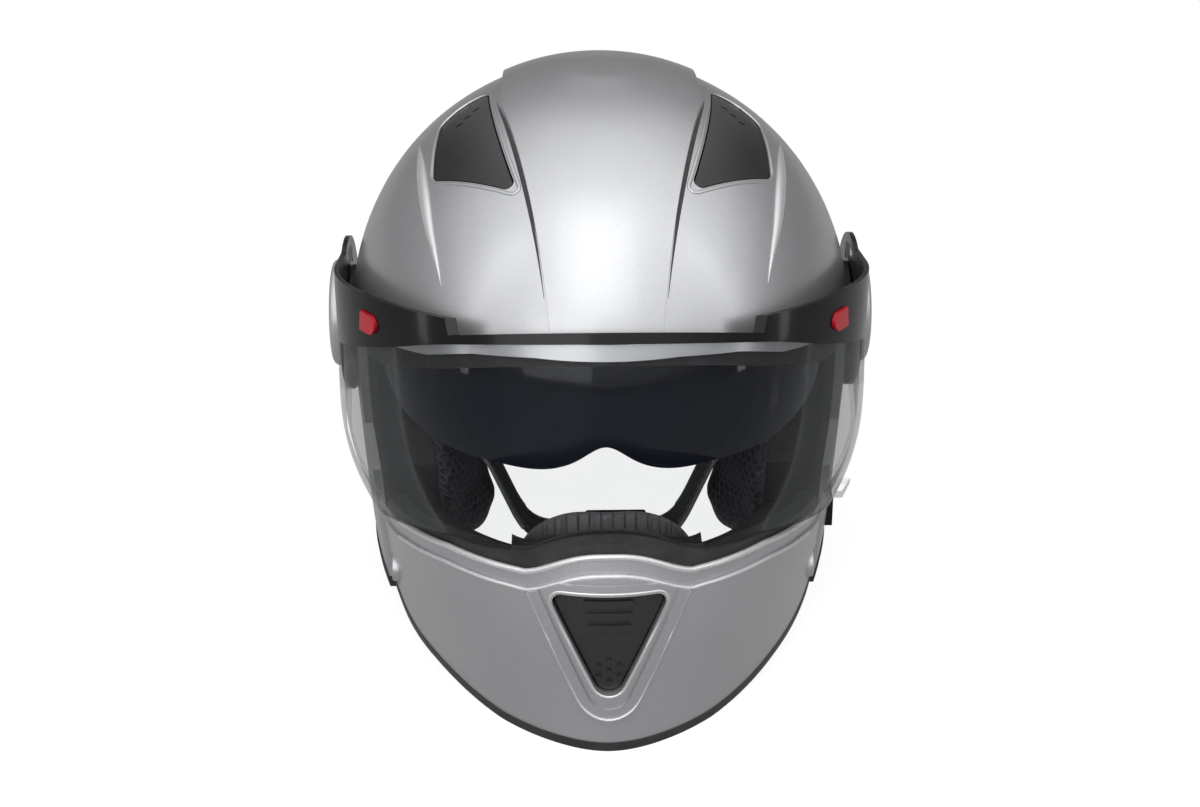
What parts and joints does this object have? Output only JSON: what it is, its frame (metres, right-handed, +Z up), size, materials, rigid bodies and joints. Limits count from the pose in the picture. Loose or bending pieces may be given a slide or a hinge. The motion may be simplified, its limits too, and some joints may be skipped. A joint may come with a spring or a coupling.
{
  "type": "modular motorcycle helmet",
  "caption": "Modular road helmet with a clear hinged face shield, an inner sun lens, a removable chin guard, lift-off crown vent covers and a quick-release chin strap.",
  "frame": {"origin": "middle of the helmet's footprint, on the surface that its rims stand on", "axes": "+Z up, -Y the way the face looks, +X towards the wearer's left"},
  "size_m": [0.2704, 0.3575, 0.262],
  "materials": {
    "shell_paint": "silver metallic paint under clear coat",
    "black_gloss": "gloss black",
    "dark_satin": "dark grey satin",
    "black_plastic": "black, fine grain",
    "pale_plastic": "pale silver, satin gloss",
    "bright_trim": "bright silver plating",
    "red_plastic": "bright red",
    "clear_lens": "clear polycarbonate, hard coated",
    "sun_tint": "dark smoke polycarbonate",
    "edge_rubber": "matt black",
    "foam": "moulded foam, matt",
    "lining": "soft grey lining",
    "mesh_lining": "dark honeycomb mesh",
    "webbing": "black woven webbing",
    "steel": "brushed"
  },
  "bodies": {
    "helmet_shell": {"outer_shell": "shell_paint", "shell_rim_trim": "edge_rubber", "brow_trim": "bright_trim", "eye_port_seal": "edge_rubber", "rear_exhaust": "dark_satin", "pivot_screws": "steel", "strap_rivets": "steel", "foam_crown": "foam", "crown_liner": "lining", "rear_liner": "lining", "neck_roll": "lining", "slider_track": "black_plastic", "buckle_body": "black_plastic", "buckle_tongue": "black_plastic", "foam_cheek_left": "foam", "foam_cheek_right": "foam", "cheek_pad_left": "mesh_lining", "cheek_pad_right": "mesh_lining", "vent_tray_left": "black_plastic", "vent_tray_right": "black_plastic", "side_cover_left": "pale_plastic", "side_cover_right": "pale_plastic", "latch_receiver_left": "black_plastic", "latch_receiver_right": "black_plastic", "chin_strap_left": "webbing", "chin_strap_right": "webbing", "pivot_base_left": "black_plastic", "pivot_base_right": "black_plastic", "sun_bracket_left": "black_plastic", "sun_bracket_right": "black_plastic"},
    "face_shield": {"shield_frame": "black_gloss", "shield_lens": "clear_lens", "shield_tab": "clear_lens"},
    "shield_release_left": {"release_button_left": "red_plastic"},
    "shield_release_right": {"release_button_right": "red_plastic"},
    "sun_visor": {"sun_lens": "sun_tint", "sun_arm_left": "black_plastic", "sun_arm_right": "black_plastic"},
    "sun_slider": {"sun_slider": "black_plastic"},
    "chin_guard": {"chin_shell": "shell_paint", "chin_edge_trim": "edge_rubber", "chin_lip_seal": "edge_rubber", "chin_foam": "foam", "chin_vent_frame": "shell_paint", "chin_vent_mesh": "black_plastic", "breath_guard": "edge_rubber", "latch_hook_left": "steel", "latch_hook_right": "steel"},
    "chin_flap": {"chin_vent_flap": "black_plastic"},
    "chin_release_left": {"chin_button_left": "shell_paint"},
    "chin_release_right": {"chin_button_right": "shell_paint"},
    "crown_cover_left": {"vent_cover_left": "dark_satin"},
    "crown_cover_right": {"vent_cover_right": "dark_satin"},
    "crown_shutter_left": {"vent_shutter_left": "black_plastic"},
    "crown_shutter_right": {"vent_shutter_right": "black_plastic"},
    "strap_lever": {"buckle_lever": "red_plastic"}
  },
  "joints": [
    {"name": "shield_pivot", "type": "hinge", "parent": "helmet_shell", "child": "face_shield", "pos_m": [0, 0.01377, 0.134], "axis": [-1, 0, 0], "range_deg": [0, 75]},
    {"name": "shield_release_left", "type": "slide", "parent": "face_shield", "child": "shield_release_left", "axis": [-0.8094, 0.5872, 0], "range_m": [0, 0.0012], "stiffness_N_per_m": 500, "springref_m": -0.001},
    {"name": "shield_release_right", "type": "slide", "parent": "face_shield", "child": "shield_release_right", "axis": [0.8094, 0.5872, 0], "range_m": [0, 0.0012], "stiffness_N_per_m": 500, "springref_m": -0.001},
    {"name": "sun_visor_hinge", "type": "hinge", "parent": "helmet_shell", "child": "sun_visor", "pos_m": [0, 0.00177, 0.126], "axis": [-1, 0, 0], "range_deg": [0, 42]},
    {"name": "sun_slider_run", "type": "slide", "parent": "helmet_shell", "child": "sun_slider", "axis": [0, -1, 0], "range_m": [0, 0.025]},
    {"name": "chin_guard_pull", "type": "slide", "parent": "helmet_shell", "child": "chin_guard", "axis": [0, -1, 0], "range_m": [0, 0.15]},
    {"name": "chin_flap_hinge", "type": "hinge", "parent": "chin_guard", "child": "chin_flap", "pos_m": [0, -0.17033, 0.03598], "axis": [1, 0, 0], "range_deg": [0, 10]},
    {"name": "chin_release_left", "type": "slide", "parent": "chin_guard", "child": "chin_release_left", "axis": [-1, 0, 0], "range_m": [0, 0.003], "stiffness_N_per_m": 600, "springref_m": -0.001},
    {"name": "chin_release_right", "type": "slide", "parent": "chin_guard", "child": "chin_release_right", "axis": [1, 0, 0], "range_m": [0, 0.003], "stiffness_N_per_m": 600, "springref_m": -0.001},
    {"name": "cover_lift_left", "type": "slide", "parent": "helmet_shell", "child": "crown_cover_left", "axis": [0.4274, -0.2368, 0.8725], "range_m": [0, 0.02]},
    {"name": "cover_lift_right", "type": "slide", "parent": "helmet_shell", "child": "crown_cover_right", "axis": [-0.4274, -0.2368, 0.8725], "range_m": [0, 0.02]},
    {"name": "shutter_run_left", "type": "slide", "parent": "helmet_shell", "child": "crown_shutter_left", "axis": [-0.1042, -0.9715, -0.2127], "range_m": [0, 0.008]},
    {"name": "shutter_run_right", "type": "slide", "parent": "helmet_shell", "child": "crown_shutter_right", "axis": [0.1042, -0.9715, -0.2127], "range_m": [0, 0.008]},
    {"name": "buckle_lever_hinge", "type": "hinge", "parent": "helmet_shell", "child": "strap_lever", "pos_m": [0.0188, -0.00823, 0.0115], "axis": [0, -1, 0], "range_deg": [0, 25], "stiffness_Nm_per_rad": 0.02, "springref_deg": -17.19}
  ],
  "couplings": [
    {"joint": "sun_slider_run", "follows": "sun_visor_hinge", "m_per_rad": 0.0341}
  ]
}
